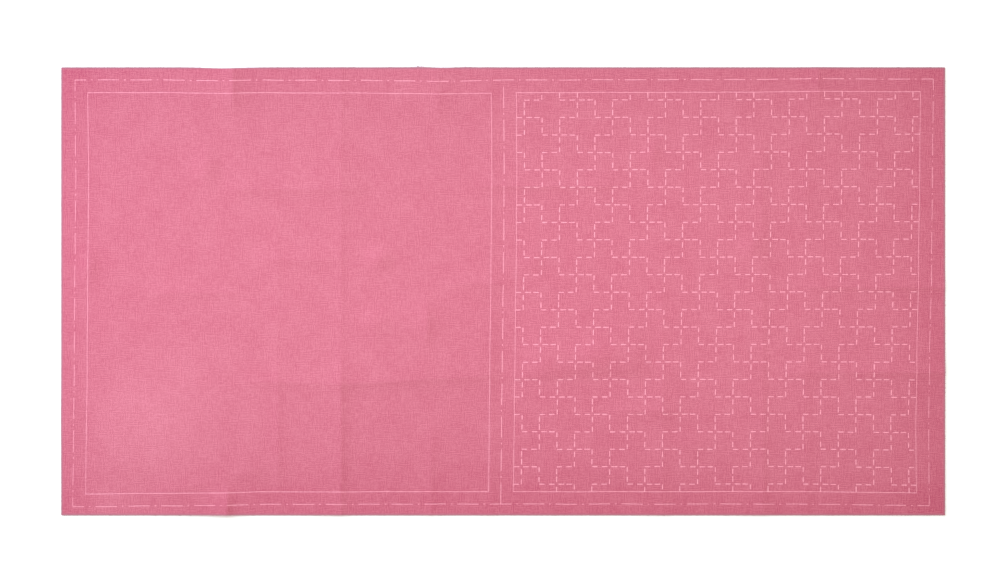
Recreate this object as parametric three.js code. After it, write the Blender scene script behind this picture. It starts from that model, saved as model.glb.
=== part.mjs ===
// A cut length of plain-woven cotton, printed for sashiko, lying flat with its packet's creases in it.
// Millimetres, +Z up. X runs along the cloth and Y across it. The underside rests on z = 0.
import * as THREE from 'three';

// Driving dimensions of the cut cloth.
const CLOTH_LENGTH = 700;
const CLOTH_WIDTH = 355;
const CLOTH_THICKNESS = 1.2;

// Finish of the dyed cotton.
const COTTON_PINK = 0xdf8098;
const COTTON_ROUGHNESS = 0.92;

// A lift lower than this is taken out, so that the cloth lies flat there.
const CONTACT_LIFT = 0.08;

// Softness of a crease's line, and the length over which a crease dies away at each end.
const CREASE_TIP = 1.2;
const CREASE_FADE = 26;

// A crease that runs out at the cloth's edge is drawn this far past it, so that it does not fade there.
const RUN_OUT = 40;
const ALONG_RUN = CLOTH_LENGTH / 2 + RUN_OUT;
const ACROSS_RUN = CLOTH_WIDTH / 2 + RUN_OUT;

// Spacing of the sheet's columns and rows, open between creases and close beside them.
const OPEN_COLUMN = 36;
const OPEN_ROW = 32;
const CLOSEST_LINE = 3.2;
const LINES_BESIDE_CREASE = [-3.2, -1.9, -0.9, 0, 0.9, 1.9, 3.2];

// Creases that run across the cloth, along Y. A ridge stands up on its line. A groove stays down on its
// line and lifts the cloth on both sides of it. The crease falls away over its reach.
const CROSS_CREASES = [
  { name: 'left_fold_top', form: 'ridge', x: -214, from: 128, to: ACROSS_RUN, rise: 1.7, reach: 8 },
  { name: 'left_fold_bottom', form: 'ridge', x: -214, from: -ACROSS_RUN, to: -140, rise: 1.3, reach: 7 },
  { name: 'left_low', form: 'ridge', x: -177, from: -150, to: -78, rise: 0.6, reach: 6 },
  { name: 'left_panel', form: 'ridge', x: -128, from: -ACROSS_RUN, to: ACROSS_RUN, rise: 1.3, reach: 7 },
  { name: 'middle_top', form: 'ridge', x: -47, from: 132, to: ACROSS_RUN, rise: 1.2, reach: 6 },
  { name: 'middle_fold', form: 'groove', x: -3, from: -ACROSS_RUN, to: ACROSS_RUN, rise: 1.2, reach: 7 },
  { name: 'right_panel', form: 'ridge', x: 129, from: -ACROSS_RUN, to: -30, rise: 1.0, reach: 7 },
  { name: 'right_panel_faint', form: 'ridge', x: 129, from: -40, to: 150, rise: 0.4, reach: 6 },
  { name: 'right_middle', form: 'ridge', x: 205, from: -45, to: 125, rise: 0.7, reach: 6 },
  { name: 'right_outer_top', form: 'ridge', x: 242, from: 118, to: ACROSS_RUN, rise: 0.8, reach: 6 },
  { name: 'right_outer_low', form: 'ridge', x: 242, from: -92, to: -30, rise: 0.7, reach: 6 },
];

// Creases that run along the cloth, along X. Slope turns a crease's line by so much for each millimetre.
const LONG_CREASES = [
  { name: 'lower_left', form: 'ridge', y: -73, slope: 0.025, from: -205, to: 0, rise: 1.2, reach: 5.5 },
  { name: 'lower_right', form: 'groove', y: -63, slope: 0, from: -6, to: 140, rise: 1.3, reach: 6 },
  { name: 'lower_outer', form: 'groove', y: -63, slope: 0, from: 290, to: ALONG_RUN, rise: 0.8, reach: 6 },
  { name: 'lower_short', form: 'groove', y: -102, slope: 0, from: 76, to: 148, rise: 0.6, reach: 5.5 },
  { name: 'middle_dent', form: 'ridge', y: 4, slope: 0, from: -44, to: 14, rise: 0.9, reach: 5.5 },
  { name: 'upper_left', form: 'groove', y: 76, slope: 0, from: -212, to: -92, rise: 0.6, reach: 6 },
  { name: 'upper_middle', form: 'groove', y: 76, slope: 0, from: -46, to: 24, rise: 0.6, reach: 6 },
];

// Broad, low swells where the cloth has not settled.
const SWELLS = [
  { x: -222, y: 172, reachX: 40, reachY: 34, rise: 0.9 },
  { x: -46, y: 174, reachX: 24, reachY: 30, rise: 0.6 },
  { x: -275, y: -118, reachX: 62, reachY: 40, rise: 0.7 },
  { x: -70, y: -30, reachX: 44, reachY: 40, rise: 0.5 },
  { x: 62, y: -138, reachX: 58, reachY: 30, rise: 0.6 },
  { x: 170, y: 66, reachX: 70, reachY: 44, rise: 0.5 },
  { x: 322, y: -66, reachX: 34, reachY: 52, rise: 0.7 },
];

// Places where a crease draws the top edge in, and how far below the edge the pull still shows.
const TOP_EDGE_PULLS = [
  { x: -220, depth: 1.0, reach: 21 },
  { x: -48, depth: 0.5, reach: 9 },
];
const PULL_FADE = 70;

// Returns 0 below low, 1 above high and a smooth step between them.
function smoothStep(low, high, value) {
  const t = THREE.MathUtils.clamp((value - low) / (high - low), 0, 1);
  return t * t * (3 - 2 * t);
}

// Returns 1 at a distance of 0, and a bell that falls off over reach.
function bell(distance, reach) {
  return Math.exp(-((distance / reach) ** 2));
}

// Lift of one crease at a distance from its line.
function creaseProfile(form, distance, reach) {
  const away = Math.hypot(distance, CREASE_TIP) / reach;
  const ridge = Math.exp(-away);
  return form === 'groove' ? away * Math.E * ridge : ridge;
}

// Share of a crease's lift that is left at a place along it.
function alongCrease(crease, place) {
  const begun = smoothStep(crease.from, crease.from + CREASE_FADE, place);
  const ended = smoothStep(crease.to - CREASE_FADE, crease.to, place);
  return begun * (1 - ended);
}

// Lift of the creases that run across the cloth.
function crossLift(x, y) {
  return CROSS_CREASES.reduce((sum, crease) => {
    const profile = creaseProfile(crease.form, x - crease.x, crease.reach);
    return sum + crease.rise * profile * alongCrease(crease, y);
  }, 0);
}

// Lift of the creases that run along the cloth.
function longLift(x, y) {
  return LONG_CREASES.reduce((sum, crease) => {
    const middle = (crease.from + crease.to) / 2;
    const line = crease.y + crease.slope * (x - middle);
    const profile = creaseProfile(crease.form, y - line, crease.reach);
    return sum + crease.rise * profile * alongCrease(crease, x);
  }, 0);
}

// Lift of the broad swells.
function swellLift(x, y) {
  return SWELLS.reduce((sum, swell) => {
    const dome = bell(x - swell.x, swell.reachX) * bell(y - swell.y, swell.reachY);
    return sum + swell.rise * dome;
  }, 0);
}

// Height of the underside above the surface, 0 where the cloth lies on it.
function lift(x, y) {
  return Math.max(0, crossLift(x, y) + longLift(x, y) + swellLift(x, y) - CONTACT_LIFT);
}

// Place of a point of the flat cloth once the creases have drawn the top edge in.
function drawnIn(x, y) {
  const nearTop = smoothStep(CLOTH_WIDTH / 2 - PULL_FADE, CLOTH_WIDTH / 2, y);
  const pull = TOP_EDGE_PULLS.reduce((sum, dip) => sum + dip.depth * bell(x - dip.x, dip.reach), 0);
  return y - pull * nearTop;
}

// Lines from one edge to the other: evenly open ones, and closer ones beside each crease.
function sheetLines(size, openStep, creaseLines) {
  const half = size / 2;
  const openCount = Math.ceil(size / openStep);
  const lines = [-half, half, ...creaseLines];
  for (let index = 1; index < openCount; index += 1) {
    const place = -half + (index * size) / openCount;
    if (lines.every((line) => Math.abs(line - place) > openStep / 2)) lines.push(place);
  }
  return lines.sort((a, b) => a - b);
}

// The places beside a set of creases, each at least the closest spacing from the edges and the others.
function linesBeside(creases, axis, size) {
  const room = size / 2 - CLOSEST_LINE;
  const kept = [];
  for (const step of [...LINES_BESIDE_CREASE].sort((a, b) => Math.abs(a) - Math.abs(b))) {
    for (const crease of creases) {
      const place = crease[axis] + step * crease.reach;
      const free = kept.every((line) => Math.abs(line - place) >= CLOSEST_LINE);
      if (free && Math.abs(place) <= room) kept.push(place);
    }
  }
  return kept;
}

// Two triangles for the four corners of a cell, given in the order that faces outwards.
function quad(a, b, c, d) {
  return [a, b, c, a, c, d];
}

// The columns and rows met on a walk round the sheet's edge, anticlockwise from above.
function edgeWalk(lastColumn, lastRow) {
  const walk = [];
  for (let column = 0; column < lastColumn; column += 1) walk.push([column, 0]);
  for (let row = 0; row < lastRow; row += 1) walk.push([lastColumn, row]);
  for (let column = lastColumn; column > 0; column -= 1) walk.push([column, lastRow]);
  for (let row = lastRow; row > 0; row -= 1) walk.push([0, row]);
  return walk;
}

// The closed sheet: upper face, underside and the cut edge all round.
function clothGeometry() {
  const columns = sheetLines(CLOTH_LENGTH, OPEN_COLUMN, linesBeside(CROSS_CREASES, 'x', CLOTH_LENGTH));
  const rows = sheetLines(CLOTH_WIDTH, OPEN_ROW, linesBeside(LONG_CREASES, 'y', CLOTH_WIDTH));
  const points = [];
  for (const level of [CLOTH_THICKNESS, 0]) {
    for (const y of rows) {
      for (const x of columns) points.push(x, drawnIn(x, y), lift(x, y) + level);
    }
  }

  const layer = columns.length * rows.length;
  const upper = (column, row) => row * columns.length + column;
  const under = (column, row) => upper(column, row) + layer;
  const faces = [];
  for (let row = 1; row < rows.length; row += 1) {
    for (let column = 1; column < columns.length; column += 1) {
      const [left, low] = [column - 1, row - 1];
      faces.push(...quad(upper(left, low), upper(column, low), upper(column, row), upper(left, row)));
      faces.push(...quad(under(left, low), under(left, row), under(column, row), under(column, low)));
    }
  }
  const walk = edgeWalk(columns.length - 1, rows.length - 1);
  walk.forEach((here, index) => {
    const next = walk[(index + 1) % walk.length];
    faces.push(...quad(under(...here), under(...next), upper(...next), upper(...here)));
  });

  const geometry = new THREE.BufferGeometry();
  geometry.setAttribute('position', new THREE.Float32BufferAttribute(points, 3));
  geometry.setIndex(faces);
  geometry.computeVertexNormals();
  return geometry;
}

// The pink cotton, matt all over.
function cottonMaterial() {
  return new THREE.MeshStandardMaterial({
    name: 'pink_cotton',
    color: COTTON_PINK,
    roughness: COTTON_ROUGHNESS,
    metalness: 0,
  });
}

// The whole part: the one cut length.
function sashikoCloth() {
  const group = new THREE.Group();
  const cloth = new THREE.Mesh(clothGeometry(), cottonMaterial());
  cloth.name = 'cloth';
  group.add(cloth);
  return group;
}

export default sashikoCloth();
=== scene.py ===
"""A cut length of pink cotton, printed for sashiko, lying flat on a pale table.

The cloth is one woven length with four raw edges. Its upper face carries two printed squares: a bare one
inside a frame line, and one filled with dashed, linked crosses. Packet creases stand in it as soft ridges
and grooves. Sizes are in millimetres from the cloth's centre, X along it and Y across it, meshes in metres.
"""

import logging
import math
from collections.abc import Iterable
from dataclasses import dataclass
from enum import Enum

import bpy
import numpy as np
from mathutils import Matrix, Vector, noise


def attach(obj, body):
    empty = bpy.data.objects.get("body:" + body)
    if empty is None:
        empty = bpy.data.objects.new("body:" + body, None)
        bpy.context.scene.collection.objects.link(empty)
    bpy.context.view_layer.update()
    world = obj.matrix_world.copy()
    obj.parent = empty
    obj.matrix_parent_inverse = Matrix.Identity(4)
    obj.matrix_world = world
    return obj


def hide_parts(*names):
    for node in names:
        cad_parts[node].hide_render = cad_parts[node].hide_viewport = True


LOG = logging.getLogger("sashiko_cloth")
MM = 0.001
BODY = "root"
FLAT_MAP = "FlatCloth"
# The point attribute holding the broad tone: painted shade towards the cut edges, and patches partly painted
# light and partly uneven dye.
TONE = "ShadeAndDyeTone"

Array = np.ndarray
Material = bpy.types.Material
MeshObject = bpy.types.Object
Node = bpy.types.Node
Tree = bpy.types.NodeTree
Socket = bpy.types.NodeSocket
Value = float | Socket

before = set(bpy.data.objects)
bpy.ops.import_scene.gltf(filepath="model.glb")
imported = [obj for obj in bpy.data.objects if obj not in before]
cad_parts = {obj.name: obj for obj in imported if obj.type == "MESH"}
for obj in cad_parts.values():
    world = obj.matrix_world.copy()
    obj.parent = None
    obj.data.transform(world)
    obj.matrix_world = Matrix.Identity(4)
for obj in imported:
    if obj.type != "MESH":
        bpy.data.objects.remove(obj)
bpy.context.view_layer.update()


def srgb(*levels: int) -> tuple[float, ...]:
    """Return the opaque linear colour that shaders take for red, green and blue from 0 to 255."""
    shares = [level / 255 for level in levels]
    return *(s / 12.92 if s <= 0.04045 else ((s + 0.055) / 1.055) ** 2.4 for s in shares), 1.0


def smooth_step(low: float, high: float, value: Array) -> Array:
    """Return how far each value has risen smoothly, from 0 at low to 1 at high."""
    share = np.clip((value - low) / (high - low), 0.0, 1.0)
    return share * share * (3.0 - 2.0 * share)


def bell(distance: Array, reach: float) -> Array:
    """Return 1 at a distance of 0, falling off over reach as a bell."""
    return np.exp(-((distance / reach) ** 2))


def total(forms: Iterable, x: Array, y: Array) -> Array:
    """Return the sum of what several forms add at each place."""
    return np.sum([form.at(x, y) for form in forms], axis=0)


def only(*pieces: MeshObject) -> None:
    """Select these objects alone, or none, and make the first of them the active one."""
    bpy.ops.object.select_all(action="DESELECT")
    for piece in pieces:
        piece.select_set(True)
    if pieces:
        bpy.context.view_layer.objects.active = pieces[0]


def rows_of(items: bpy.types.bpy_prop_collection, name: str) -> Array:
    """Return one vector of each of a mesh's items as rows of X, Y and Z."""
    flat = np.empty(len(items) * 3, np.float32)
    items.foreach_get(name, flat)
    return flat.reshape(-1, 3).astype(float)


def points_of(piece: MeshObject) -> Array:
    """Return a mesh's points as rows of X, Y and Z in metres."""
    return rows_of(piece.data.vertices, "co")


def set_points(piece: MeshObject, points: Array) -> None:
    """Move a mesh's points to these rows of X, Y and Z in metres."""
    piece.data.vertices.foreach_set("co", points.astype(np.float32).ravel())
    piece.data.update()


class Run(Enum):
    """Which way a crease runs over the cloth."""

    ACROSS = "across"
    ALONG = "along"


class Form(Enum):
    """Whether a crease is a crest, or the sharp foot of a slope on its left or upper side."""

    CREST = "crest"
    FOOT = "foot"


@dataclass(frozen=True)
class Crease:
    """One crease of the packet, a low ridge with a gentle side and a steep side."""

    run: Run  # Which way it runs.
    place: float  # Its crest's distance from the cloth's centre, halfway along it.
    start: float  # Where it begins along its run.
    end: float
    rise: float  # Its height.
    before: float  # The distance over which it rises, on its left or upper side.
    after: float  # The distance over which it falls, on its right or lower side. A foot is eased over it.
    slope: float = 0.0  # How far its line drifts for each millimetre of its run.
    form: Form = Form.CREST  # Crest or foot. Before a foot, the top of its slope is that far away.

    TIP = 0.6  # How far the top of a crest is rounded.
    FADE = 26.0  # Over how much of its run an end dies away.

    def at(self, x: Array, y: Array) -> Array:
        """Work out how far the crease lifts the cloth.

        Args:
            x: Places along the cloth.
            y: Places across it.

        Returns:
            The lift at each place.
        """
        off, along = (x - self.place, y) if self.run is Run.ACROSS else (self.place - y, x)
        middle = (max(self.start, -LONG_HALF) + min(self.end, LONG_HALF)) / 2
        drift = self.slope * (along - middle)
        off = off - drift if self.run is Run.ACROSS else off + drift
        if self.form is Form.FOOT:
            away = (np.hypot(off, self.after) - off) / 2 / self.before
            profile = away * np.exp(1.0 - away)
        else:
            reach = np.where(off < 0.0, self.before, self.after)
            profile = np.exp(-(np.hypot(off, self.TIP) - self.TIP) / reach)
        begun = smooth_step(self.start, self.start + self.FADE, along)
        ended = smooth_step(self.end - self.FADE, self.end, along)
        return self.rise * profile * begun * (1.0 - ended)


@dataclass(frozen=True)
class Spot:
    """A soft spot of lift, or of lighter or darker colour that is partly painted light and partly uneven dye:
    its centre, its reach both ways and how much it adds.
    """

    x: float
    y: float
    reach_x: float
    reach_y: float
    most: float

    def at(self, x: Array, y: Array) -> Array:
        """Return how much the spot adds at each place."""
        return self.most * bell(x - self.x, self.reach_x) * bell(y - self.y, self.reach_y)


LONG_HALF = 350.0
WIDE_HALF = 177.35
PAST_EDGE = 400.0
# Each row is a crease's place, start, end, rise, before and after, then its slope and form if it has them.
ACROSS_CREASES = (
    (-214.0, 136.0, PAST_EDGE, 1.9, 12.0, 9.0),
    (-218.5, -PAST_EDGE, -146.0, 3.0, 14.0, 6.5),
    (-178.5, -164.0, -46.0, 0.6, 5.0, 5.0),
    (-178.5, -60.0, 70.0, 0.2, 5.0, 4.0),
    (-128.3, -PAST_EDGE, -47.0, 1.3, 16.0, 5.0),
    (-128.3, -73.0, 73.0, 0.5, 9.0, 4.0),
    (-128.3, 47.0, PAST_EDGE, 0.6, 12.0, 5.0),
    (-60.0, -50.0, 2.0, 1.8, 18.0, 8.0),
    (-57.0, -PAST_EDGE, -100.0, 0.6, 6.0, 4.0),
    (-51.0, 124.0, PAST_EDGE, 1.0, 26.0, 10.0),
    (-9.0, -PAST_EDGE, -30.0, 0.4, 14.0, 4.0),
    (-9.0, -56.0, 60.0, 0.3, 12.0, 4.0),
    (-9.0, 34.0, PAST_EDGE, 0.3, 10.0, 3.5),
    (43.0, -170.0, -66.0, 0.2, 6.0, 4.0),
    (126.0, -PAST_EDGE, -62.0, 0.55, 14.0, 8.0),
    (126.0, -88.0, 20.0, 0.4, 10.0, 6.0),
    (126.0, -6.0, 150.0, 0.2, 8.0, 5.0),
    (206.0, -PAST_EDGE, -70.0, 0.7, 18.0, 5.0),
    (205.5, -96.0, 130.0, 0.5, 22.0, 4.0),
    (249.5, 142.0, PAST_EDGE, 1.1, 8.0, 9.0),
    (241.0, 30.0, 166.0, 0.3, 8.0, 5.0),
    (240.0, -PAST_EDGE, -30.0, 0.3, 10.0, 6.0),
)
ALONG_CREASES = (
    (80.5, -228.0, -100.0, 1.3, 14.0, 5.5),
    (83.0, -30.0, 100.0, 1.1, 8.0, 3.0),
    (82.0, 74.0, 220.0, 0.2, 8.0, 3.0),
    (24.5, -204.0, -120.0, 0.9, 8.0, 5.0),
    (-1.5, -290.0, -200.0, 0.8, 8.0, 5.0),
    (6.0, -54.0, 16.0, 0.9, 8.0, 6.0),
    (3.0, 228.0, PAST_EDGE, 1.1, 9.0, 4.0),
    (-72.5, -216.0, -112.0, 0.9, 9.0, 7.0, -0.03),
    (-70.3, -142.0, 4.0, 1.3, 24.0, 6.0, 0.06),
    (-67.5, -14.0, 58.0, 0.4, 8.0, 3.5),
    (-68.0, 10.0, 124.0, 1.6, 13.0, 2.5, 0.0, Form.FOOT),
    (-65.0, 104.0, 156.0, 0.35, 8.0, 4.0),
    (-64.5, 210.0, 310.0, 0.8, 8.0, 4.5),
    (-64.0, 280.0, PAST_EDGE, 1.2, 8.0, 5.0),
    (-94.5, 76.0, 150.0, 1.0, 12.0, 7.0),
    (-147.0, 56.0, 134.0, 0.5, 8.0, 5.0, -0.25),
    (-150.0, -284.0, -176.0, 0.8, 16.0, 12.0, 0.25),
)
CREASES = (
    *(Crease(Run.ACROSS, *row) for row in ACROSS_CREASES),
    *(Crease(Run.ALONG, *row) for row in ALONG_CREASES),
)
# Low swells where the cloth has not settled.
SWELLS = (
    Spot(-222.0, 172.0, 40.0, 34.0, 0.4),
    Spot(-46.0, 174.0, 24.0, 30.0, 0.3),
    Spot(-275.0, -118.0, 62.0, 40.0, 1.0),
    Spot(-70.0, -30.0, 44.0, 40.0, 0.5),
    Spot(62.0, -138.0, 58.0, 30.0, 0.6),
    Spot(170.0, 66.0, 70.0, 44.0, 0.5),
    Spot(322.0, -66.0, 34.0, 52.0, 0.7),
    Spot(-98.0, 26.0, 9.0, 8.0, 1.7),
    Spot(-100.0, -24.0, 12.0, 9.0, 1.2),
    Spot(-235.0, 98.0, 9.0, 12.0, 1.4),
    Spot(-328.0, 20.0, 6.0, 12.0, 1.5),
    Spot(-346.0, -98.0, 10.0, 25.0, 0.8),
    Spot(118.0, 110.0, 6.0, 8.0, 1.0),
    Spot(197.0, 36.0, 8.0, 9.0, 1.2),
    Spot(150.0, -122.0, 16.0, 9.0, 0.7),
    Spot(74.0, -50.0, 18.0, 10.0, 1.2),
    Spot(24.0, 24.0, 8.0, 8.0, 0.9),
)


@dataclass(frozen=True)
class Stretch:
    """A stretch of the top edge: its place along it, its reach, and how far the edge is pulled or frayed."""

    place: float
    reach: float
    most: float


@dataclass
class LaidCloth:
    """The shape in which the cloth lies."""

    length: float = 2 * LONG_HALF
    width: float = 2 * WIDE_HALF  # Its width, as its creases leave it.
    contact: float = 0.08  # A lift lower than this is taken out, so that the cloth lies flat there.
    pucker: float = 0.12  # Height of the fine unevenness all over.
    pucker_size: float = 18.0  # Distance from one fine hump to the next.
    # Where the top edge is drawn in.
    pulls: tuple[Stretch, ...] = (Stretch(-220.0, 21.0, 1.0), Stretch(-48.0, 9.0, 0.5))
    pull_fade: float = 70.0  # How far below the top edge a pull still shows.

    HUMPS = (0.6, 2.1, 3)  # The fractal's roughness, its step from octave to octave and their number.

    def lift(self, x: Array, y: Array) -> Array:
        """Return how far the underside stands above the table, 0 where the cloth lies on it."""
        return np.maximum(0.0, total((*CREASES, *SWELLS), x, y) - self.contact)

    def unevenness(self, x: Array, y: Array) -> Array:
        """Return the fine humps of the upper face, from 0 up to the pucker's height."""
        places = zip(x / self.pucker_size, y / self.pucker_size)
        humps = np.array([noise.fractal(Vector((a, b, 0.0)), *self.HUMPS) for a, b in places])
        return self.pucker * np.clip(0.5 + 0.5 * humps, 0.0, 1.0)

    def drawn_in(self, x: Array, y: Array) -> Array:
        """Return each place across the cloth once the top edge has been drawn in."""
        near_top = smooth_step(self.width / 2 - self.pull_fade, self.width / 2, y)
        pull = np.sum([p.most * bell(x - p.place, p.reach) for p in self.pulls], axis=0)
        return y - pull * near_top


@dataclass(frozen=True)
class Margin:
    """The painted shade, darker towards one cut edge."""

    facing: tuple[float, float]  # The way that the edge faces.
    half: float  # Its distance from the cloth's centre.
    depth: float  # How much darker the painted shade is at the edge.
    near: float  # Distance from the edge at which it starts to fade.
    far: float  # Distance at which it is gone.

    def at(self, x: Array, y: Array) -> Array:
        """Return how far the painted shade lies above the dye's middle at each place, here below 0."""
        inwards = self.half - x * self.facing[0] - y * self.facing[1]
        return self.depth * (smooth_step(self.near, self.far, inwards) - 1.0)


# Broad tones of the colour. The margins are painted shade, darker towards the cut edges. The spots are broad
# lighter and darker patches, partly painted light falloff and partly uneven dye.
SHADE_AND_DYE_TONES = (
    Margin((0.0, 1.0), WIDE_HALF, depth=0.11, near=-8.0, far=46.0),
    Margin((0.0, -1.0), WIDE_HALF, depth=0.16, near=0.0, far=44.0),
    Margin((-1.0, 0.0), LONG_HALF, depth=0.12, near=8.0, far=40.0),
    Margin((1.0, 0.0), LONG_HALF, depth=0.14, near=0.0, far=50.0),
    Spot(-280.0, -106.0, 54.0, 42.0, 0.17),
    Spot(-254.0, -58.0, 22.0, 18.0, 0.07),
    Spot(-312.0, -172.0, 46.0, 20.0, 0.15),
    Spot(-335.0, 165.0, 34.0, 34.0, -0.08),
    Spot(-60.0, 172.0, 70.0, 16.0, 0.08),
    Spot(-300.0, 40.0, 60.0, 110.0, -0.05),
    Spot(57.0, -31.0, 110.0, 120.0, -0.07),
    Spot(-20.0, -140.0, 240.0, 40.0, -0.07),
    Spot(300.0, -20.0, 80.0, 160.0, -0.05),
)


@dataclass(frozen=True)
class PrintDrift:
    """How the print has crept sideways and up from its plan, as the woven cloth is skewed.

    The first table is read up the cloth, for the left, middle and right line. The second is read along it,
    for the bottom, middle and top line. Each row starts with the place that it holds for, and the outer lines
    lie at line_x and line_y either side of the middle. The whole print is shifted to the right, and a small
    wobble, wobble_size from bend to bend, is added all over.
    """

    line_x: float = 339.0
    line_y: float = 168.0
    sideways: tuple[tuple[float, ...], ...] = (
        (-162.0, -1.90, -1.90, -1.82),
        (-102.0, -1.19, -1.27, -2.30),
        (-47.0, -0.79, -0.63, -1.66),
        (1.0, -0.44, -0.08, -0.40),
        (88.0, 0.32, 0.79, 0.71),
        (158.0, -0.30, 0.40, 1.35),
    )
    upwards: tuple[tuple[float, ...], ...] = (
        (-326.0, -1.90, 0.00, 0.00),
        (-272.0, -1.35, 0.00, 0.20),
        (-220.0, -0.75, 0.00, -0.60),
        (-190.0, -0.05, 0.00, 0.00),
        (-100.0, 0.05, 0.00, -0.40),
        (-50.0, 0.10, 0.00, -1.10),
        (0.0, 0.12, -0.28, 0.00),
        (100.0, 0.12, -0.10, 0.20),
        (200.0, 0.10, 0.08, 0.35),
        (245.0, 0.05, 0.16, 1.00),
        (310.0, -0.80, 0.26, 0.80),
        (340.0, -1.10, 0.30, 0.70),
    )

    shift: float = 0.25
    wobble: float = 0.25
    wobble_size: float = 24.0

    WOBBLE_SLICE = 5.0  # The slice of the noise that the wobble is read from.

    @staticmethod
    def between(rows: tuple[tuple[float, ...], ...], run: Array, line: float, off: Array) -> Array:
        """Read a table between its rows and between its lines.

        Args:
            rows: The table.
            run: Places along the way that its rows follow.
            line: How far its outer lines lie from the middle one.
            off: Places across them.

        Returns:
            The drift at each place.
        """
        table = np.array(rows)
        low, middle, high = (np.interp(run, table[:, 0], table[:, k]) for k in (1, 2, 3))
        upper_half, lower_half = (np.clip(off / end, 0.0, 1.0) for end in (line, -line))
        return middle + (high - middle) * upper_half + (low - middle) * lower_half

    def plan_place(self, x: Array, y: Array) -> tuple[Array, Array]:
        """Find which place of the print's plan lies at each place of the cloth.

        Args:
            x: Places along the cloth.
            y: Places across it.

        Returns:
            The places along and across the plan.
        """
        along = self.between(self.sideways, y, self.line_x, x)
        across = self.between(self.upwards, x, self.line_y, y)
        places = zip(x / self.wobble_size, y / self.wobble_size)
        bends = np.array([noise.noise_vector(Vector((a, b, self.WOBBLE_SLICE))) for a, b in places])
        bends = bends * self.wobble
        return x - self.shift - along - bends[:, 0], y - across - bends[:, 1]


class Wiring:
    """Adds nodes to one tree and joins their sockets."""

    def __init__(self, tree: Tree) -> None:
        """Take the tree to wire."""
        self.tree = tree

    def node(self, kind: str, **settings: object) -> Node:
        """Add a node and set its own choices.

        Args:
            kind: The node's type.
            **settings: Its choices by name.

        Returns:
            The node.
        """
        made = self.tree.nodes.new(kind)
        for name, value in settings.items():
            setattr(made, name, value)
        return made

    def feed(self, socket: Socket, value: object) -> None:
        """Link a socket's value to another socket, or set it."""
        if isinstance(value, Socket):
            self.tree.links.new(value, socket)
        else:
            socket.default_value = value

    def fill(self, made: Node, values: dict[str, object]) -> None:
        """Feed several of a node's inputs by name."""
        for name, value in values.items():
            self.feed(made.inputs[name], value)

    def step(self, kind: str, *values: Value, **settings: object) -> Socket:
        """Add a node, feed its inputs in their order and return its first output."""
        made = self.node(kind, **settings)
        for socket, value in zip(made.inputs, values):
            self.feed(socket, value)
        return made.outputs[0]

    def math(self, operation: str, *values: Value) -> Socket:
        """Add a maths step and return its result."""
        return self.step("ShaderNodeMath", *values, operation=operation)

    def largest(self, *values: Value) -> Socket:
        """Return the largest of several values."""
        found = values[0]
        for value in values[1:]:
            found = self.math("MAXIMUM", found, value)
        return found

    def remap(self, value: Value, low: float, high: float, to_low: float = 0.0,
              to_high: float = 1.0) -> Socket:
        """Turn a value between low and high into one between two others, smoothly and clamped."""
        ends = (low, high, to_low, to_high)
        return self.step("ShaderNodeMapRange", value, *ends, interpolation_type="SMOOTHSTEP")

    def split(self, place: Socket) -> tuple[Socket, Socket]:
        """Return a place's X and Y."""
        made = self.node("ShaderNodeSeparateXYZ")
        self.feed(made.inputs[0], place)
        return made.outputs[0], made.outputs[1]

    def place(self, x: Value, y: Value, z: Value) -> Socket:
        """Return a place with these coordinates."""
        return self.step("ShaderNodeCombineXYZ", x, y, z)

    def noise(self, place: Socket, scale: float, detail: float) -> Socket:
        """Return a soft noise from 0 to 1 at a place, with so many finer layers."""
        made = self.node("ShaderNodeTexNoise")
        self.fill(made, {"Vector": place, "Scale": scale, "Detail": detail})
        return made.outputs[0]

    def blend(self, share: Value, first: object, second: object) -> Socket:
        """Return the colour that lies a share of the way from the first to the second."""
        made = self.node("ShaderNodeMix", data_type="RGBA")
        for name, value in (("Factor", share), ("A", first), ("B", second)):
            socket = next(s for s in made.inputs if s.name == name and s.enabled)
            self.feed(socket, value)
        return next(s for s in made.outputs if s.enabled)

    def group(self, tree: Tree, place: Socket) -> Node:
        """Place a node group, give it a place on the flat cloth and return it."""
        made = self.node("ShaderNodeGroup", node_tree=tree)
        self.feed(made.inputs["Place"], place)
        return made


def new_group(name: str, *outputs: str) -> tuple[Wiring, Socket, dict[str, Socket]]:
    """Make an empty node group with one input, Place.

    Args:
        name: The group's name.
        *outputs: The names of its outputs, all plain numbers.

    Returns:
        The wiring, the place that is given to the group, and the sockets of its outputs by name.
    """
    tree = bpy.data.node_groups.new(name, "ShaderNodeTree")
    tree.interface.new_socket("Place", in_out="INPUT", socket_type="NodeSocketVector")
    for label in outputs:
        tree.interface.new_socket(label, in_out="OUTPUT", socket_type="NodeSocketFloat")
    w = Wiring(tree)
    place = w.node("NodeGroupInput").outputs["Place"]
    taken = w.node("NodeGroupOutput").inputs
    return w, place, {label: taken[label] for label in outputs}


def new_material(name: str, values: dict[str, object]) -> tuple[Material, Wiring, Node]:
    """Make a material with one Principled shader.

    Args:
        name: The material's name.
        values: The shader's own values by name.

    Returns:
        The material, its wiring and its shader.
    """
    made = bpy.data.materials.new(name)
    made.use_nodes = True
    w = Wiring(made.node_tree)
    shader = next(n for n in made.node_tree.nodes if n.type == "BSDF_PRINCIPLED")
    w.fill(shader, values)
    return made, w, shader


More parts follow.
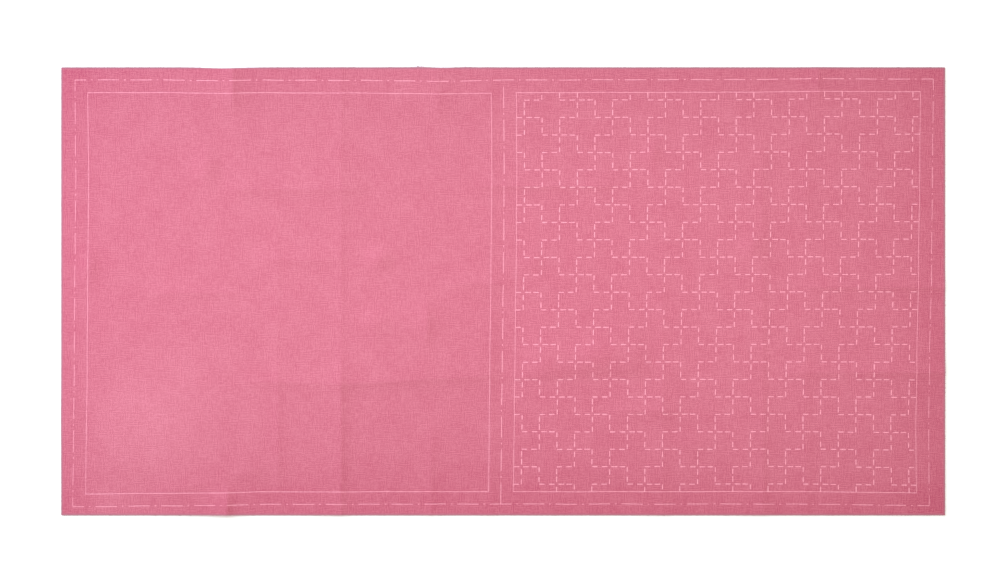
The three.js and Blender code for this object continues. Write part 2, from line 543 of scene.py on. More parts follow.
@dataclass(frozen=True)
class Weave:
    """The plain weave of slubby single yarns."""

    pitch: float = 0.86  # Distance from one yarn to the next.
    slub: float = 1.5  # Length of a thick or thin spot of yarn.
    streak: float = 8.0  # Length over which a whole yarn stays thick or thin.
    wander: float = 0.5  # How far a yarn strays from its line, in pitches.
    wander_size: float = 6.0  # Length over which it strays.
    contrast: float = 0.12  # How much lighter the warp is than the weft.
    reed: float = 1.15  # Strength of the reed marks, where every second yarn is deeper over a patch.
    reed_length: float = 7.0  # Length of such a patch along the yarns.
    reed_width: float = 2.6  # Its width across them.
    nep: float = 0.3  # Strength of the small knots of fibre.
    nep_size: float = 0.9  # Their size.

    SEEDS = (3.0, 91.0)  # Where the warp and the weft are read from the noise.
    STREAK_SLICE = 40.0  # How far past its seed a yarn's streaks are read.
    REED_SLICE = 80.5  # How far past it the reed marks are read.
    LANE = 0.73  # How far apart two yarns are read.
    CROWN = 0.7  # How high a yarn's middle stands over its sides.
    OVER = 0.45  # How much higher it stands over another yarn than beside it.
    SLUB_PART = 0.6  # The slubs' part of a yarn's shade. The rest is the streaks'.

    def group(self) -> Tree:
        """Build the group that gives each place's yarn height and shade.

        Returns:
            A group that takes a place on the flat cloth and puts out Height and Shade, both from 0 to 1.
        """
        w, place, taken = new_group("plain_weave", "Height", "Shade")
        along, across = (w.math("DIVIDE", value, self.pitch * MM) for value in w.split(place))
        stray = w.math("SUBTRACT", w.noise(place, 1.0 / (self.wander_size * MM), 1.0), 0.5)
        stray = w.math("MULTIPLY", stray, self.wander * 2.0)
        a, b = w.math("ADD", along, stray), w.math("SUBTRACT", across, stray)
        warp, warp_shade = self.yarn(w, a, b, 0.5, self.SEEDS[0])
        weft, weft_shade = self.yarn(w, b, a, -0.5, self.SEEDS[1])
        warp_over = w.math("GREATER_THAN", warp, weft)
        weft_over = w.math("SUBTRACT", 1.0, warp_over)
        sides = ((warp_shade, warp_over), (weft_shade, weft_over))
        shade = w.math("ADD", *(w.math("MULTIPLY", *side) for side in sides))
        shade = w.math("MULTIPLY_ADD", w.math("SUBTRACT", warp_over, 0.5), self.contrast, shade)
        neps = w.noise(place, 1.0 / (self.nep_size * MM), 1.0)
        shade = w.math("MULTIPLY_ADD", w.math("SUBTRACT", neps, 0.5), self.nep, shade)
        w.feed(taken["Height"], w.largest(warp, weft))
        w.feed(taken["Shade"], shade)
        return w.tree

    def yarn(self, w: Wiring, off: Socket, along: Socket, side: float, seed: float) -> tuple[Socket, Socket]:
        """Wire one set of parallel yarns.

        Args:
            w: The group's wiring.
            off: Places across the yarns, in pitches.
            along: Places along them, in pitches.
            side: 0.5 for the set that is on top in even cells, and -0.5 for the other.
            seed: Sets its noise apart from the other set's.

        Returns:
            The yarn's height and its shade, both from 0 to 1.
        """
        index = w.math("FLOOR", off)
        from_middle = w.math("SUBTRACT", w.math("SUBTRACT", off, index), 0.5)
        crown = w.math("COSINE", w.math("MULTIPLY", from_middle, math.pi))
        wave = w.math("ADD", w.math("SUBTRACT", along, 0.5), index)
        over = w.math("MULTIPLY", w.math("COSINE", w.math("MULTIPLY", wave, math.pi)), side)
        height = w.math("MULTIPLY_ADD", over, self.OVER, w.math("MULTIPLY", crown, self.CROWN))
        lane = w.math("MULTIPLY", index, self.LANE)
        slubs, streaks = (
            w.noise(w.place(lane, w.math("DIVIDE", along, length / self.pitch), start), 1.0, 0.0)
            for length, start in ((self.slub, seed), (self.streak, seed + self.STREAK_SLICE))
        )
        span = (w.math("DIVIDE", value, size / self.pitch)
                for value, size in ((off, self.reed_width), (along, self.reed_length)))
        patch = w.noise(w.place(*span, seed + self.REED_SLICE), 1.0, 1.0)
        second = w.math("COSINE", w.math("MULTIPLY", index, math.pi))
        marks = w.math("MULTIPLY", second, w.math("MULTIPLY", w.math("SUBTRACT", patch, 0.5), self.reed))
        slubs = w.math("MULTIPLY", slubs, self.SLUB_PART)
        return height, w.math("ADD", marks, w.math("MULTIPLY_ADD", streaks, 1.0 - self.SLUB_PART, slubs))


class Step(Enum):
    """Which of the five steps of the crosses' repeat an edge is, counted along a row of corners."""

    FIRST = 0
    SECOND = 1
    THIRD = 2
    FOURTH = 3
    FIFTH = 4


# For each step that has an edge, where its first dash starts and ends and then its second, as shares of it.
LEVEL_EDGES = {
    Step.FIRST: (0.00, 0.31, 0.535, 0.855),
    Step.THIRD: (0.01, 0.32, 0.565, 0.88),
    Step.FOURTH: (0.10, 0.43, 0.555, 0.875),
}
UPRIGHT_EDGES = {
    Step.FIRST: (0.11, 0.43, 0.555, 0.88),
    Step.FOURTH: (0.14, 0.455, 0.71, 1.00),
    Step.FIFTH: (0.02, 0.30, 0.57, 0.88),
}


@dataclass(frozen=True)
class Panel:
    """A printed frame line's four sides."""

    left: float
    right: float
    bottom: float
    top: float


@dataclass(frozen=True)
class UprightChain:
    """An upright dash and dot line: its place, the drop to its first dash, its repeat and its width."""

    place: float
    start: float
    period: float
    width: float


@dataclass(frozen=True)
class GuidePrint:
    """The print's plan: the frame lines, the dash and dot lines round them, and the linked crosses."""

    square: float = 339.1  # From the cloth's middle to the end of a level dash and dot line.
    top: float = 167.4  # Place of the top dash and dot line.
    bottom: float = -168.6
    bare: Panel = Panel(-329.0, -10.0, -158.75, 157.35)  # The frame of the bare panel.
    worked: Panel = Panel(9.8, 328.9, -158.75, 157.4)  # The frame of the panel with the crosses.
    # The upright dash and dot lines.
    uprights: tuple[UprightChain, ...] = (
        UprightChain(-339.1, start=0.5, period=25.85, width=0.38),
        UprightChain(-0.2, start=13.8, period=26.12, width=0.52),
        UprightChain(339.1, start=0.2, period=25.85, width=0.38),
    )
    level_start: float = -0.3  # Place of the middle of the level ones' middle dash.
    level_period: float = 26.04  # Their repeat.
    dash: float = 17.0  # Length of a dash of these lines.
    dot: float = 1.5
    pitch_x: float = 13.957  # The crosses' step along the cloth.
    pitch_y: float = 13.831
    first_x: float = 15.96  # Place of their first corner from the left.
    first_y: float = 151.51
    frame_width: float = 0.46  # Width of a frame line.
    chain_width: float = 0.52  # Width of a level dash and dot line.
    stitch_width: float = 0.70  # Width of the crosses' dashes.
    upright_share: float = 0.72  # How wide a frame's upright runs are, as a share of its level ones.
    soft: float = 0.35  # How far the ink bleeds.

    def inked(self, w: Wiring, distance: Socket, width: float) -> Socket:
        """Return the ink, from 0 to 1, at a distance from the middle of a line of that width."""
        return w.remap(distance, width / 2 - self.soft / 2, width / 2 + self.soft / 2, 1.0, 0.0)

    def stroke(self, w: Wiring, past: tuple[Socket, Socket], off: Socket, width: float) -> Socket:
        """Return the ink of a line, from how far a place is past its two ends and off its middle."""
        squares = [w.math("MULTIPLY", side, side) for side in (w.largest(*past, 0.0), off)]
        return self.inked(w, w.math("SQRT", w.math("ADD", *squares)), width)

    def rectangle(self, w: Wiring, x: Socket, y: Socket, panel: Panel) -> tuple[Socket, Socket]:
        """Wire one panel's frame line.

        Args:
            w: The group's wiring.
            x: Place along the plan.
            y: Place across it.
            panel: The panel.

        Returns:
            The distance outside the frame line, below 0 inside it, and the line's ink.
        """
        off_x = w.math("ABSOLUTE", w.math("SUBTRACT", x, (panel.left + panel.right) / 2))
        off_y = w.math("ABSOLUTE", w.math("SUBTRACT", y, (panel.bottom + panel.top) / 2))
        beside = w.math("SUBTRACT", off_x, (panel.right - panel.left) / 2)
        above = w.math("SUBTRACT", off_y, (panel.top - panel.bottom) / 2)
        outside = w.largest(beside, above)
        line = w.math("ABSOLUTE", outside)
        upright = w.math("GREATER_THAN", beside, above)
        runs = ((1.0, w.math("SUBTRACT", 1.0, upright)), (self.upright_share, upright))
        inks = [w.math("MULTIPLY", self.inked(w, line, self.frame_width * share), run) for share, run in runs]
        return outside, w.largest(*inks)

    def chain(self, w: Wiring, along: Socket, off: Socket, period: float, half_run: Value,
              width: float) -> Socket:
        """Wire one dash and dot line.

        Args:
            w: The group's wiring.
            along: Place along the line, 0 at the middle of a dash.
            off: Place across it, 0 on the line.
            period: Length of one repeat.
            half_run: How far the line still has to go at this place, below 0 past its end.
            width: Its width.

        Returns:
            Its ink, from 0 to 1.
        """
        repeat = w.math("ROUND", w.math("DIVIDE", along, period))
        from_dash = w.math("ABSOLUTE", w.math("SUBTRACT", along, w.math("MULTIPLY", repeat, period)))
        past_dash = w.math("SUBTRACT", from_dash, (self.dash - width) / 2)
        before_dot = w.math("SUBTRACT", (period - self.dot + width) / 2, from_dash)
        past_mark = w.math("MINIMUM", past_dash, before_dot)
        return self.stroke(w, (past_mark, w.math("MULTIPLY", half_run, -1.0)), off, width)

    def chains(self, w: Wiring, x: Socket, y: Socket) -> Socket:
        """Return the ink of the five dash and dot lines."""
        middle = (self.top + self.bottom) / 2
        upright_run = w.math("SUBTRACT", (self.top - self.bottom) / 2,
                             w.math("ABSOLUTE", w.math("SUBTRACT", y, middle)))
        level_run = w.math("SUBTRACT", self.square, w.math("ABSOLUTE", x))
        along = w.math("SUBTRACT", x, self.level_start)
        inks = []
        for line in (self.top, self.bottom):
            off = w.math("SUBTRACT", y, line)
            inks.append(self.chain(w, along, off, self.level_period, level_run, self.chain_width))
        for line in self.uprights:
            off = w.math("SUBTRACT", x, line.place)
            along = w.math("SUBTRACT", self.top - line.start, y)
            run = w.math("MINIMUM", upright_run, w.math("ADD", along, self.dash / 2))
            inks.append(self.chain(w, along, off, line.period, run, line.width))
        return w.largest(*inks)

    def stitch(self, w: Wiring, place: Socket, off: Socket, pitch: float,
               ends: tuple[Socket, Socket]) -> Socket:
        """Wire one dash of a cross.

        Args:
            w: The group's wiring.
            place: Place along the edge, from its first corner.
            off: Place across it, 0 on the edge.
            pitch: The edge's length.
            ends: Where the dash starts and ends, as shares of that length.

        Returns:
            Its ink, from 0 to 1.
        """
        half = self.stitch_width / 2
        start = w.math("MULTIPLY_ADD", ends[0], pitch, half)
        end = w.math("MULTIPLY_ADD", ends[1], pitch, -half)
        past = (w.math("SUBTRACT", start, place), w.math("SUBTRACT", place, end))
        return self.stroke(w, past, off, self.stitch_width)

    def edges(self, w: Wiring, across: Socket, down: Socket, dashes: dict[Step, tuple[float, ...]],
              upright: bool) -> Socket:
        """Wire the crosses' edges of one direction.

        Each row of corners is two steps further on in the repeat of five than the row above it.

        Args:
            w: The group's wiring.
            across: Corners passed from the left.
            down: Corners passed from the top.
            dashes: The dashes of each step that has an edge.
            upright: True for the edges that run down the cloth.

        Returns:
            Their ink, from 0 to 1.
        """
        ways = ("ROUND", "FLOOR") if upright else ("FLOOR", "ROUND")
        column, row = w.math(ways[0], across), w.math(ways[1], down)
        step = w.math("FLOORED_MODULO", w.math("SUBTRACT", column, w.math("MULTIPLY", row, 2.0)), len(Step))
        chart = w.node("ShaderNodeValToRGB")
        ramp = chart.color_ramp
        ramp.interpolation = "CONSTANT"
        for _ in range(len(Step) - len(ramp.elements)):
            ramp.elements.new(1.0)
        for element, known in zip(ramp.elements, Step):
            element.position = known.value / len(Step)
            element.color = dashes.get(known, (0.0, 0.0, 0.0, 0.0))
        w.feed(chart.inputs[0], w.math("DIVIDE", w.math("ADD", step, 0.5), len(Step)))
        colours = w.node("ShaderNodeSeparateColor")
        w.feed(colours.inputs[0], chart.outputs["Color"])
        first_start, first_end, second_start = colours.outputs
        second_end = chart.outputs["Alpha"]
        past_x = w.math("MULTIPLY", w.math("SUBTRACT", across, column), self.pitch_x)
        past_y = w.math("MULTIPLY", w.math("SUBTRACT", down, row), self.pitch_y)
        run = (past_y, past_x, self.pitch_y) if upright else (past_x, past_y, self.pitch_x)
        ends = ((first_start, first_end), (second_start, second_end))
        ink = w.largest(*(self.stitch(w, *run, pair) for pair in ends))
        return w.math("MULTIPLY", ink, w.math("GREATER_THAN", second_end, 0.0))

    def group(self) -> Tree:
        """Build the group that draws the print.

        Returns:
            A group that takes a place on the flat cloth and puts out Ink, from 0 to 1.
        """
        w, place, taken = new_group("sashiko_guides", "Ink")
        x, y = (w.math("DIVIDE", value, MM) for value in w.split(place))
        frames = [self.rectangle(w, x, y, panel) for panel in (self.bare, self.worked)]
        across = w.math("DIVIDE", w.math("SUBTRACT", x, self.first_x), self.pitch_x)
        down = w.math("DIVIDE", w.math("SUBTRACT", self.first_y, y), self.pitch_y)
        crosses = w.largest(*(self.edges(w, across, down, dashes, upright)
                              for dashes, upright in ((LEVEL_EDGES, False), (UPRIGHT_EDGES, True))))
        inside = w.math("LESS_THAN", frames[1][0], 0.0)
        lines = [ink for _, ink in frames]
        w.feed(taken["Ink"], w.largest(*lines, self.chains(w, x, y), w.math("MULTIPLY", crosses, inside)))
        return w.tree


@dataclass(frozen=True)
class Cotton:
    """The dyed cotton's finish."""

    deep: tuple[float, ...] = srgb(190, 82, 107)  # The dye in a thin stretch of yarn.
    light: tuple[float, ...] = srgb(221, 131, 148)  # The dye in a thick one.
    ink: tuple[float, ...] = srgb(255, 177, 194)  # The printed lines at their fullest.
    rim_grey: tuple[float, ...] = srgb(178, 115, 129)  # A greyer, darker colour right at a cut edge.
    roughness: float = 0.92  # How matt it is.
    sheen: float = 0.08  # Strength of its fibres' glow at a low angle.
    relief: float = 0.06  # Depth of the weave.
    grain: float = 0.53  # The yarns' own share of the shade.
    crevice_shade: float = 0.1  # Share of the shade that follows the yarns' height, a painted shade that is darker where the yarns dip between each other.
    blotch_size: float = 19.0  # Size of the uneven patches of dye.
    blotch: float = 0.17  # Their share of the shade.
    rim_width: float = 2.0  # Width of the greyer band along a cut edge.

    SPECULAR = 0.25  # How weak its mirror-like shine is.
    SHADES = (0.28, 0.72)  # The yarns' shades that count as deepest and lightest.
    RIM_FADE = (0.2, 0.9)  # How far from the cut the greyer band starts to fade, and its share up to there.
    DIPPED = (0.1, 0.8, 0.6, 1.0)  # The ink holds from 0.6 where a yarn is 0.1 high up to 1 where it is 0.8.
    WORN = (0.35, 0.62, 0.6, 1.0)  # The same for the noise of wear.
    WORN_SIZE = 1.7  # Size of a worn spot of the print.

    def material(self, name: str, weave: Tree, guides: Tree | None = None) -> Material:
        """Make the cotton's material.

        Args:
            name: The material's name.
            weave: The weave's node group.
            guides: The print's node group, for the printed face.

        Returns:
            The material.
        """
        made, w, shader = new_material(name, {"Roughness": self.roughness, "Sheen Weight": self.sheen,
                                              "Specular IOR Level": self.SPECULAR})
        place = w.node("ShaderNodeUVMap", uv_map=FLAT_MAP).outputs[0]
        cloth = w.group(weave, place)
        patches = w.noise(place, 1.0 / (self.blotch_size * MM), 0.0)
        streaks = w.remap(cloth.outputs["Shade"], *self.SHADES)
        shade = (1.0 - self.grain - self.blotch - self.crevice_shade) / 2
        # The part taken from the yarns' height is painted shade, darker between the yarns.
        parts = ((streaks, self.grain), (patches, self.blotch), (cloth.outputs["Height"], self.crevice_shade))
        for value, part in parts:
            shade = w.math("MULTIPLY_ADD", value, part, shade)
        # The broad tone adds painted shade towards the cut edges, and broad patches that are partly painted
        # light falloff and partly uneven dye.
        shade = w.math("ADD", shade, w.node("ShaderNodeAttribute", attribute_name=TONE).outputs["Fac"])
        colour = w.blend(shade, self.deep, self.light)
        if guides is not None:
            colour = self.printed(w, place, cloth, colour, guides)
        starts, most = self.RIM_FADE
        # A greyer, darker band right along the cut edges.
        colour = w.blend(w.remap(self.from_edge(w), starts, self.rim_width, most, 0.0), colour, self.rim_grey)
        bump = w.node("ShaderNodeBump")
        w.fill(bump, {"Strength": 1.0, "Distance": self.relief * MM, "Height": cloth.outputs["Height"]})
        w.fill(shader, {"Base Color": colour, "Normal": bump.outputs[0]})
        return made

    def from_edge(self, w: Wiring) -> Socket:
        """Return the distance inwards from the nearest cut edge, in millimetres."""
        x, y = w.split(w.node("ShaderNodeTexCoord").outputs["Object"])
        inwards = [w.math("SUBTRACT", half * MM, w.math("ABSOLUTE", value))
                   for value, half in ((x, LONG_HALF), (y, WIDE_HALF))]
        return w.math("DIVIDE", w.math("MINIMUM", *inwards), MM)

    def printed(self, w: Wiring, place: Socket, cloth: Node, colour: Socket, guides: Tree) -> Socket:
        """Lay the ink over the dyed cotton, thinner where the yarn dips or the print has worn.

        Args:
            w: The material's wiring.
            place: The place on the flat cloth.
            cloth: The placed weave.
            colour: The dyed cotton's colour.
            guides: The print's node group.

        Returns:
            The colour with the print on it.
        """
        ink = w.group(guides, place).outputs["Ink"]
        ink = w.math("MULTIPLY", ink, w.remap(cloth.outputs["Height"], *self.DIPPED))
        worn = w.remap(w.noise(place, 1.0 / (self.WORN_SIZE * MM), 2.0), *self.WORN)
        return w.blend(w.math("MULTIPLY", ink, worn), colour, self.ink)


@dataclass(frozen=True)
class CutYarn:
    """The greyer, darker finish of the cut yarn ends: its two colours, how matt it is and its grain."""

    deep: tuple[float, ...] = srgb(158, 94, 109)
    light: tuple[float, ...] = srgb(188, 124, 138)
    roughness: float = 0.95
    grains: float = 900.0

    def material(self) -> Material:
        """Make the material.

        Returns:
            The material.
        """
        made, w, shader = new_material("cut_yarn", {"Roughness": self.roughness})
        fibres = w.noise(w.node("ShaderNodeTexCoord").outputs["Object"], self.grains, 2.0)
        w.feed(shader.inputs["Base Color"], w.blend(fibres, self.deep, self.light))
        return made


@dataclass
class ClothLength:
    """The cut length itself: one sheet, printed above and plain below."""

    laid: LaidCloth  # The shape in which it lies.
    drift: PrintDrift = PrintDrift()  # How its print has crept.
    thickness: float = 0.7  # The cotton's thickness.
    columns: int = 300  # Cells along the sheet.
    rows: int = 150
    crowding: float = 2.0  # How many times closer the sheet's lines are on a crease.
    crowd_reach: float = 7.0  # How far from a crease they are closer.

    SAMPLES = 4001  # Places at which the crowding is worked out.
    FACES_UP = 0.5  # A face whose normal rises more than this is on top.
    SHARP = 50.0  # The angle in degrees from which an edge stays sharp.

    def crowded(self, size: float, cells: int, run: Run) -> Array:
        """Place the sheet's lines from edge to edge, closer beside the creases that they follow.

        Args:
            size: Distance between the edges.
            cells: Number of cells.
            run: Which way the lines run.

        Returns:
            The lines' places.
        """
        fine = np.linspace(-size / 2, size / 2, self.SAMPLES)
        places = sorted({crease.place for crease in CREASES if crease.run is run})
        weight = 1.0 + self.crowding * np.max([bell(fine - p, self.crowd_reach) for p in places], axis=0)
        passed = np.concatenate([[0.0], np.cumsum((weight[1:] + weight[:-1]) / 2)])
        return np.interp(np.linspace(0.0, passed[-1], cells + 1), passed, fine)

    def build(self) -> MeshObject:
        """Lay out the sheet and give it its thickness.

        Returns:
            The cloth, which still has no material.
        """
        only()
        bpy.ops.mesh.primitive_grid_add(x_subdivisions=self.columns, y_subdivisions=self.rows, size=1.0)
        cloth = bpy.context.active_object
        cloth.name = cloth.data.name = "printed_cloth"
        cells = np.rint((points_of(cloth)[:, :2] + 0.5) * (self.columns, self.rows)).astype(int)
        x = self.crowded(self.laid.length, self.columns, Run.ACROSS)[cells[:, 0]]
        y = self.crowded(self.laid.width, self.rows, Run.ALONG)[cells[:, 1]]
        height = self.laid.lift(x, y) + self.laid.unevenness(x, y) + self.thickness
        y_drawn = self.laid.drawn_in(x, y)
        set_points(cloth, np.stack([x, y_drawn, height], axis=1) * MM)
        self.map_flat(cloth)
        only(cloth)
        solid = cloth.modifiers.new("thickness", "SOLIDIFY")
        solid.thickness = self.thickness * MM
        solid.offset = -1.0
        bpy.ops.object.modifier_apply(modifier=solid.name)
        self.settle(cloth)
        self.tone(cloth)
        bpy.ops.object.shade_smooth_by_angle(angle=math.radians(self.SHARP))
        return cloth

    def map_flat(self, cloth: MeshObject) -> None:
        """Give each corner of the sheet its place on the print's plan, in metres."""
        mesh = cloth.data
        corner_points = np.empty(len(mesh.loops), np.int32)
        mesh.loops.foreach_get("vertex_index", corner_points)
        places = points_of(cloth)[:, :2] / MM
        plan = np.stack(self.drift.plan_place(places[:, 0], places[:, 1]), axis=1) * MM
        flat_map = mesh.uv_layers.active
        flat_map.name = FLAT_MAP
        flat_map.uv.foreach_set("vector", plan[corner_points].astype(np.float32).ravel())

    def settle(self, cloth: MeshObject) -> None:
        """Press the underside flat on the table where the cloth lies on it."""
        points = points_of(cloth)
        points[:, 2] = np.maximum(points[:, 2], 0.0)
        set_points(cloth, points)

    def tone(self, cloth: MeshObject) -> None:
        """Give each point of the cloth its broad tone: painted shade towards the cut edges, and patches
        partly painted light and partly uneven dye, 0 for the middle one.
        """
        x, y = points_of(cloth)[:, :2].T / MM
        shades = total(SHADE_AND_DYE_TONES, x, y).astype(np.float32)
        cloth.data.attributes.new(TONE, "FLOAT", "POINT").data.foreach_set("value", shades)

    def dress(self, cloth: MeshObject, face: Material, back: Material) -> None:
        """Give the cloth its printed face, and its back and cut edges the plain cotton.

        Args:
            cloth: The cloth.
            face: The printed cotton.
            back: The plain cotton.
        """
        mesh = cloth.data
        mesh.materials.append(face)
        mesh.materials.append(back)
        plain = rows_of(mesh.polygons, "normal")[:, 2] < self.FACES_UP
        mesh.polygons.foreach_set("material_index", plain.astype(np.int32))


@dataclass(frozen=True)
class CutEdge:
    """One raw edge: where its middle is, which way it faces, and half its length."""

    middle: tuple[float, float]
    facing: tuple[float, float]
    half: float


# Where the cut yarns of the top edge have frayed longer.
TUFTS = (
    Stretch(-89.0, 1.2, 1.6),
    Stretch(-66.0, 6.0, 1.3),
    Stretch(-120.0, 3.0, 0.9),
    Stretch(-30.0, 4.0, 0.8),
)


@dataclass
class RawEdgeYarns:
    """The cut ends of the yarns along the four raw edges."""

    laid: LaidCloth  # The shape in which the cloth lies.
    thickness: float  # The cotton's thickness.
    pitch: float = 0.54  # Distance from one yarn end to the next.
    radius: float = 0.25  # Half a yarn's thickness.
    tip: float = 0.15  # Half its thickness at the cut.
    shortest: float = 0.15  # How far the shortest end stands out.
    spread: float = 0.14  # How much further the others do.
    root: float = 0.35  # How far an end reaches into the cloth.
    sway: float = 0.3  # How far an end leans along the edge, for its length.

    JITTER = 0.1  # How unevenly the ends are spaced.
    LENGTHS = (1.6, 0.5)  # The gamma spread's shape and scale.
    LEVEL = 0.55  # How high the ends leave the cloth, as a share of its thickness.
    DROOP = 0.5  # How far an end droops for its length.
    LOWEST = 0.3  # The most that it droops, as a share of the thickness.

    def edges(self) -> tuple[CutEdge, ...]:
        """Return the four raw edges."""
        half_length, half_width = self.laid.length / 2, self.laid.width / 2
        return (
            CutEdge((0.0, half_width), (0.0, 1.0), half_length),
            CutEdge((0.0, -half_width), (0.0, -1.0), half_length),
            CutEdge((-half_length, 0.0), (-1.0, 0.0), half_width),
            CutEdge((half_length, 0.0), (1.0, 0.0), half_width),
        )

    def yarn_row(self, edge: CutEdge) -> MeshObject:
        """Model one yarn end and repeat it along an edge, as a row from 0 along X that points along Y."""
        count = int(2 * edge.half / self.pitch)
        only()
        bpy.ops.mesh.primitive_cone_add(vertices=4, radius1=self.radius * MM, radius2=self.tip * MM,
                                        depth=1.0, location=(0.0, 0.5, 0.0),
                                        rotation=(-math.pi / 2, 0.0, 0.0))
        row = bpy.context.active_object
        bpy.ops.object.transform_apply(location=True, rotation=True, scale=True)
        bpy.ops.object.mode_set(mode="EDIT")
        bpy.ops.mesh.select_all(action="SELECT")
        bpy.ops.mesh.bisect(plane_co=(0.0, 0.5, 0.0), plane_no=(0.0, 1.0, 0.0))
        bpy.ops.object.mode_set(mode="OBJECT")
        repeat = row.modifiers.new("repeat", "ARRAY")
        repeat.use_relative_offset = False
        repeat.use_constant_offset = True
        repeat.constant_offset_displace = (self.pitch * MM, 0.0, 0.0)
        repeat.count = count
        bpy.ops.object.modifier_apply(modifier=repeat.name)
        self.fray(row, edge, count)
        return row

    def fray(self, row: MeshObject, edge: CutEdge, count: int) -> None:
        """Make each end of a row its own length and lean, and carry the row to its edge.

        Args:
            row: The row of yarn ends.
            edge: The edge that it goes to.
            count: The number of ends.
        """
        draws = np.random.default_rng(int(edge.half) + 7 * int(edge.facing[0] + 2 * edge.facing[1]))
        ends = points_of(row).reshape(count, -1, 3)
        number = np.arange(count)[:, None]
        place = (number + 0.5) * self.pitch - edge.half + draws.normal(0.0, self.JITTER, (count, 1))
        length = self.shortest + self.spread * draws.gamma(*self.LENGTHS, (count, 1))
        if edge.facing[1] > 0:
            for tuft in TUFTS:
                frayed = tuft.most * draws.random((count, 1)) ** 2
                length = length + frayed * bell(place - tuft.place, tuft.reach)
        lean = draws.normal(0.0, self.sway, (count, 1))
        share = ends[:, :, 1]
        out = share * (length + self.root) - self.root
        beyond = np.maximum(out, 0.0)
        along = place + (ends[:, :, 0] / MM - number * self.pitch) + lean * beyond
        facing = np.array(edge.facing)
        x = edge.middle[0] + along * abs(facing[1]) + out * facing[0]
        y = edge.middle[1] + along * abs(facing[0]) + out * facing[1]
        half_width = self.laid.width / 2
        rest = self.laid.lift(x, np.clip(y, -half_width, half_width)) + self.thickness * self.LEVEL
        droop = np.minimum(self.DROOP * beyond, self.thickness * self.LOWEST)
        z = rest - droop + ends[:, :, 2] / MM
        y = self.laid.drawn_in(x, y)
        set_points(row, np.stack([x, y, z], axis=2).reshape(-1, 3) * MM)

    def build(self) -> MeshObject:
        """Make the four rows and join them.

        Returns:
            The yarn ends as one mesh.
        """
        only(*(self.yarn_row(edge) for edge in self.edges()))
        bpy.ops.object.join()
        ends = bpy.context.active_object
        ends.name = ends.data.name = "raw_edge_yarns"
        bpy.ops.object.mode_set(mode="EDIT")
        bpy.ops.mesh.select_all(action="SELECT")
        bpy.ops.mesh.normals_make_consistent(inside=False)
        bpy.ops.object.mode_set(mode="OBJECT")
        bpy.ops.object.shade_smooth()
        return ends

    def dress(self, ends: MeshObject, finish: CutYarn) -> None:
        """Give the yarn ends their finish."""
        ends.data.materials.append(finish.material())


@dataclass(frozen=True)
class Lamp:
    """One soft lamp, out of the camera's sight."""

    name: str
    place: tuple[float, float, float]  # Where it hangs, in metres.
    aim: tuple[float, float, float]  # The place that it faces, in metres.
    size: tuple[float, float]  # Its length and width, in metres.
    power: float
    colour: tuple[float, float, float]

    def hang(self) -> None:
        """Hang the lamp and turn it to its aim."""
        data = bpy.data.lights.new(self.name, "AREA")
        data.shape = "RECTANGLE"
        data.size, data.size_y = self.size
        data.energy = self.power
        data.color = self.colour
        lamp = bpy.data.objects.new(self.name, data)
        bpy.context.scene.collection.objects.link(lamp)
        lamp.location = self.place
        lamp.rotation_euler = (Vector(self.aim) - Vector(self.place)).to_track_quat("-Z", "Y").to_euler()
        lamp.visible_camera = False


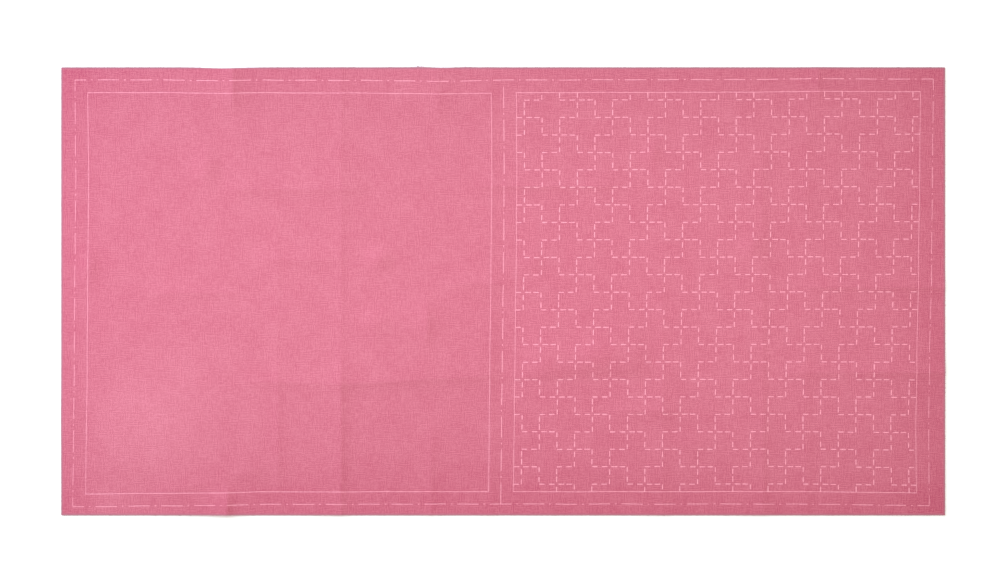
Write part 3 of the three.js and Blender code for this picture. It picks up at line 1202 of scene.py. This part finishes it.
@dataclass(frozen=True)
class Studio:
    """The pale table, the soft lights and the camera straight above."""

    scale: float = 0.7924  # Millimetres of cloth for each pixel of the picture.
    picture: int = 999  # The picture's width in pixels.
    lens: float = 85.0
    sensor: float = 36.0
    centre: tuple[float, float] = (-2.9, -0.92)  # The place on the table below the camera.
    table_size: float = 8.0  # The table's side, in metres.
    table_drop: float = 0.0003  # How far its top lies below the cloth, in metres.
    table_glow: float = 0.25  # Its faint glow, which keeps it white to the picture's edges.
    room: tuple[float, ...] = (0.66, 0.615, 0.54, 1.0)  # The colour of the room's light.
    # A cool window, the sky beside it and a long lamp above.
    lamps: tuple[Lamp, ...] = (
        Lamp("window", (-2.1, 1.5, 1.0), (0.0, 0.0, 0.0), (0.9, 0.9), 71.8, (0.63, 0.83, 1.0)),
        Lamp("sky", (-0.9, 0.2, 0.7), (0.0, 0.0, 0.0), (0.5, 0.5), 1.0, (0.0, 0.12, 1.0)),
        Lamp("above", (-0.15, 0.02, 0.37), (-0.15, 0.02, 0.0), (1.18, 0.1), 1.4, (0.82, 0.98, 1.0)),
    )

    def table(self) -> None:
        """Lay the pale table under the cloth."""
        only()
        bpy.ops.mesh.primitive_plane_add(size=self.table_size, location=(0.0, 0.0, -self.table_drop))
        table = bpy.context.active_object
        table.name = "table"
        bpy.ops.object.transform_apply(location=True, rotation=True, scale=True)
        white, _, _ = new_material("table_white", {
            "Base Color": (0.93, 0.93, 0.93, 1.0),
            "Roughness": 0.9,
            "Specular IOR Level": 0.1,
            "Emission Color": (1.0, 1.0, 1.0, 1.0),
            "Emission Strength": self.table_glow,
        })
        table.data.materials.append(white)

    def lights(self) -> None:
        """Light the cloth with the pale room and the lamps."""
        world = bpy.data.worlds.new("pale_room")
        world.use_nodes = True
        background = next(n for n in world.node_tree.nodes if n.type == "BACKGROUND")
        Wiring(world.node_tree).fill(background, {"Color": self.room, "Strength": 1.0})
        bpy.context.scene.world = world
        for lamp in self.lamps:
            lamp.hang()

    def camera(self) -> None:
        """Put the camera straight above, at the height that gives the picture's scale."""
        data = bpy.data.cameras.new("above")
        data.lens = self.lens
        data.sensor_width = self.sensor
        camera = bpy.data.objects.new("above", data)
        bpy.context.scene.collection.objects.link(camera)
        height = self.scale * self.picture * self.lens / self.sensor
        camera.location = (self.centre[0] * MM, self.centre[1] * MM, height * MM)
        bpy.context.scene.camera = camera

    def build(self) -> None:
        """Set the whole stage and show colours as they are."""
        self.table()
        self.lights()
        self.camera()
        bpy.context.scene.view_settings.view_transform = "Standard"


def main() -> None:
    """Build the cloth and its raw edges, set the stage and report each piece."""
    logging.basicConfig(level=logging.INFO, format="%(message)s")
    laid = LaidCloth()
    weave = Weave().group()
    guides = GuidePrint().group()
    cotton = Cotton()
    length = ClothLength(laid)
    cloth = length.build()
    face = cotton.material("printed_cotton", weave, guides)
    length.dress(cloth, face, cotton.material("plain_cotton", weave))
    yarns = RawEdgeYarns(laid, length.thickness)
    ends = yarns.build()
    yarns.dress(ends, CutYarn())
    for piece in (cloth, ends):
        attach(piece, BODY)
        LOG.info("%s: %d faces", piece.name, len(piece.data.polygons))
    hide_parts("cloth")
    Studio().build()


if __name__ == "__main__":
    main()
